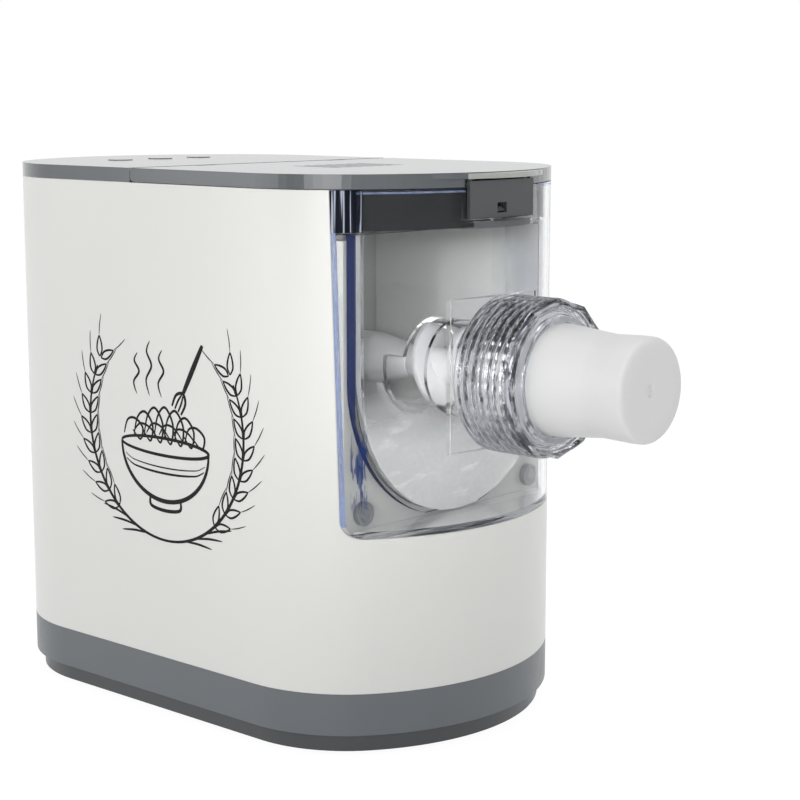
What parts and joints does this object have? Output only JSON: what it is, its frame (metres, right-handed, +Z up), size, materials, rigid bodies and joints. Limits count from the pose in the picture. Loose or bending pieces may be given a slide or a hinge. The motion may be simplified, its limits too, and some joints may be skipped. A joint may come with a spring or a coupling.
{
  "type": "electric pasta maker",
  "caption": "Electric pasta maker: tall rounded housing with a hinged lid, clear mixing chamber, screw press with ribbed retaining nut and white nozzle cap, geared motor behind.",
  "frame": {"origin": "middle of the plinth's underside, about level with the table that the foot pads stand on", "axes": "+X is the width, -Y is the front where the nozzle points, +Z is up"},
  "size_m": [0.1964, 0.4073, 0.2904],
  "materials": {
    "housing_white": "smooth satin moulded plastic",
    "base_grey": "fine matt moulded plastic",
    "lid_grey": "fine matt moulded plastic",
    "smoked": "smoked glossy plastic",
    "liner_grey": "matt light grey plastic",
    "clear_tub": "clear moulded plastic",
    "clear_cover": "clear moulded plastic",
    "press_white": "smooth white moulded plastic",
    "rubber_dark": "matt rubber",
    "peg_grey": "matt grey plastic",
    "gear_case": "die-cast",
    "bearing_steel": "ground steel",
    "bush_bronze": "sintered bronze",
    "gear_nylon": "natural nylon",
    "motor_steel": "zinc-plated steel",
    "magnet": "ferrite",
    "winding": "lacquered copper windings and laminations",
    "black_plastic": "matt black plastic",
    "board_green": "lacquered circuit board",
    "contact_metal": "nickel plated",
    "fastener": "plated steel",
    "key_light": "satin moulded plastic",
    "key_dark": "satin moulded plastic"
  },
  "bodies": {
    "root": {"base_tray": "base_grey", "foot_pads": "rubber_dark", "housing_shell": "housing_white", "chamber_liner": "liner_grey", "rear_cover": "base_grey", "mixing_tub": "clear_tub", "front_cover": "clear_cover", "press_barrel": "clear_cover", "nozzle_cap": "press_white", "cap_seal": "rubber_dark", "locating_pegs": "peg_grey", "shaft_seal": "rubber_dark", "gearbox_case": "gear_case", "gearbox_cover": "gear_case", "output_bearings": "bearing_steel", "idler_bushes": "bush_bronze", "motor_case": "motor_steel", "motor_magnets": "magnet", "motor_bearings": "bearing_steel", "motor_cradle": "motor_steel", "control_board": "board_green", "board_switches": "black_plastic", "power_board": "board_green", "power_inlet": "black_plastic", "inlet_pins": "contact_metal", "switch_bezel": "black_plastic", "hinge_pins": "fastener", "lid_switch": "black_plastic", "base_screws": "fastener", "gearbox_screws": "fastener"},
    "lid": {"lid": "lid_grey", "lid_skirt": "smoked", "latch_pin": "fastener"},
    "latch": {"latch_plate": "smoked"},
    "nut": {"retaining_nut": "clear_cover"},
    "spindle": {"extrusion_screw": "press_white", "mixing_paddle": "press_white", "drive_shaft": "bearing_steel", "output_gear": "gear_nylon"},
    "idler": {"idler_wheel": "gear_nylon", "idler_pinion": "bearing_steel", "idler_axle": "bearing_steel"},
    "rotor": {"motor_rotor": "winding", "motor_shaft": "bearing_steel", "motor_pinion": "bush_bronze", "cooling_fan": "black_plastic"},
    "start_key": {"start_button": "key_light"},
    "mode_key": {"mode_button": "key_dark"},
    "portion_key": {"portion_button": "key_dark"},
    "rocker": {"power_rocker": "black_plastic"}
  },
  "joints": [
    {"name": "lid_hinge", "type": "hinge", "parent": "root", "child": "lid", "pos_m": [0, 0.0076, 0.2868], "axis": [-1, 0, 0], "range_deg": [0, 95]},
    {"name": "latch_flex", "type": "hinge", "parent": "lid", "child": "latch", "pos_m": [0, -0.1532, 0.2844], "axis": [-1, 0, 0], "range_deg": [0, 9], "stiffness_Nm_per_rad": 0.05},
    {"name": "nut_turn", "type": "hinge", "parent": "root", "child": "nut", "pos_m": [0, -0.1775, 0.189], "axis": [0, -1, 0], "range_deg": [0, 180]},
    {"name": "spindle_spin", "type": "hinge", "parent": "root", "child": "spindle", "pos_m": [0, 0, 0.189], "axis": [0, -1, 0], "continuous": true},
    {"name": "idler_spin", "type": "hinge", "parent": "root", "child": "idler", "pos_m": [0.036, 0.03, 0.13458], "axis": [0, -1, 0], "continuous": true},
    {"name": "rotor_spin", "type": "hinge", "parent": "root", "child": "rotor", "pos_m": [0, 0.09, 0.09846], "axis": [0, -1, 0], "continuous": true},
    {"name": "start_press", "type": "slide", "parent": "root", "child": "start_key", "axis": [0, 0, -1], "range_m": [0, 0.0008], "stiffness_N_per_m": 300, "springref_m": -0.001},
    {"name": "mode_press", "type": "slide", "parent": "root", "child": "mode_key", "axis": [0, 0, -1], "range_m": [0, 0.0008], "stiffness_N_per_m": 300, "springref_m": -0.001},
    {"name": "portion_press", "type": "slide", "parent": "root", "child": "portion_key", "axis": [0, 0, -1], "range_m": [0, 0.0008], "stiffness_N_per_m": 300, "springref_m": -0.001},
    {"name": "rocker_tip", "type": "hinge", "parent": "root", "child": "rocker", "pos_m": [0.02, 0.144, 0.049], "axis": [-1, 0, 0], "range_deg": [0, 20]}
  ],
  "couplings": [
    {"joint": "idler_spin", "follows": "spindle_spin", "ratio": -4.8},
    {"joint": "rotor_spin", "follows": "spindle_spin", "ratio": 22.4}
  ]
}
